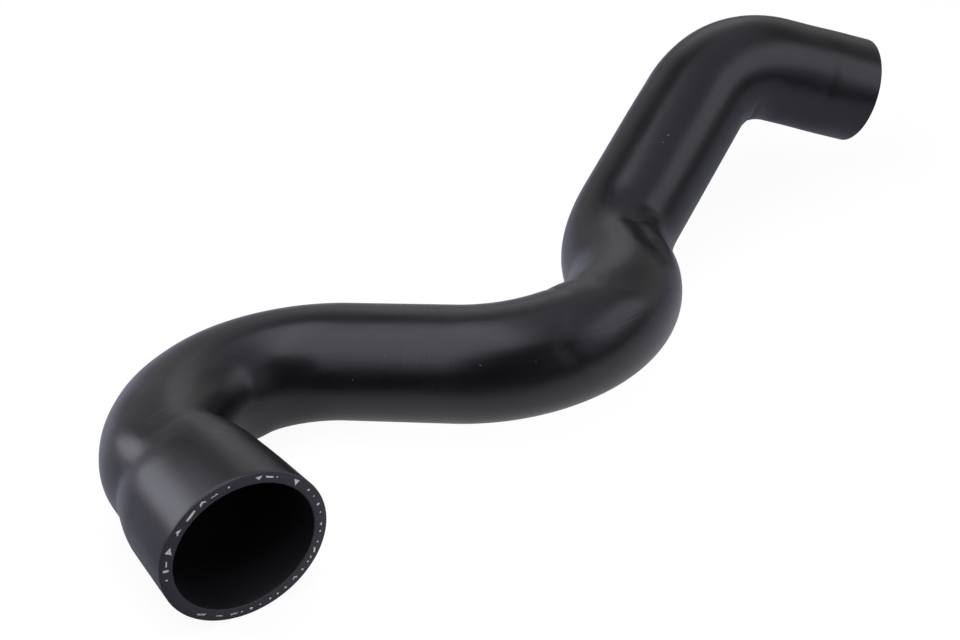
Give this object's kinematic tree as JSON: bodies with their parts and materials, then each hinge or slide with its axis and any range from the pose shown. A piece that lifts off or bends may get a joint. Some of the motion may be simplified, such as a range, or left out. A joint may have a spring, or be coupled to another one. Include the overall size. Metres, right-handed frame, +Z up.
{
  "type": "crankcase breather hose",
  "caption": "Moulded black rubber breather hose with a wide flared cuff at one end, several bends and a plain cuff at the other end.",
  "frame": {"origin": "centre of the bounding box at the surface the hose lies on", "axes": "+Z up as the hose comes to rest; +Y runs from the wide cuff towards the far bends; +X towards the side the far cuff points to"},
  "size_m": [0.3476, 0.356, 0.0892],
  "materials": {
    "rubber": "satin black moulded rubber, with pale yarn ends showing in the cut faces"
  },
  "bodies": {
    "root": {"breather_hose": "rubber"}
  },
  "joints": []
}
